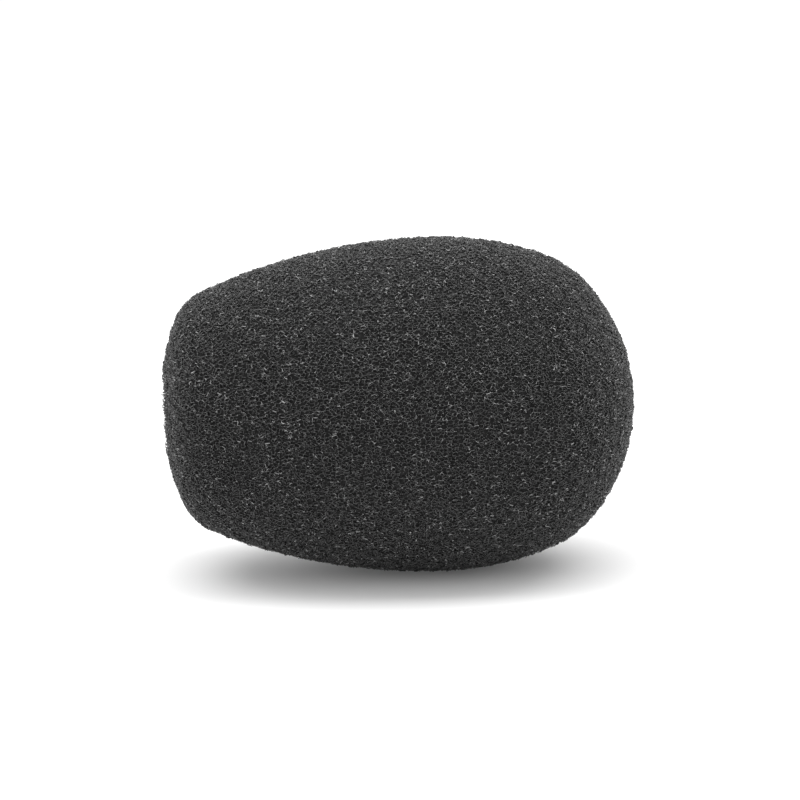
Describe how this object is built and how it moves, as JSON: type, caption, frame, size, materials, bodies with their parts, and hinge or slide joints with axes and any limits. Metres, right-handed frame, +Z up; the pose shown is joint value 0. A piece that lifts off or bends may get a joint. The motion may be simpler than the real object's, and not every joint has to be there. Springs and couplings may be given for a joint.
{
  "type": "microphone foam windscreen",
  "caption": "Barrel-shaped open-cell foam windscreen with a rounded dome, a blind bore for a small microphone's head and a soft ring inside its mouth.",
  "frame": {"origin": "centre of the bore where it opens at the mouth", "axes": "+X along the bore from the mouth to the tip of the dome; the windscreen lies on its side as it does on a table, +Z up"},
  "size_m": [0.05, 0.0356, 0.0356],
  "materials": {
    "foam": "matt open-cell foam, charcoal",
    "ring_rubber": "satin black"
  },
  "bodies": {
    "root": {"foam_body": "foam", "retaining_ring": "ring_rubber"}
  },
  "joints": []
}
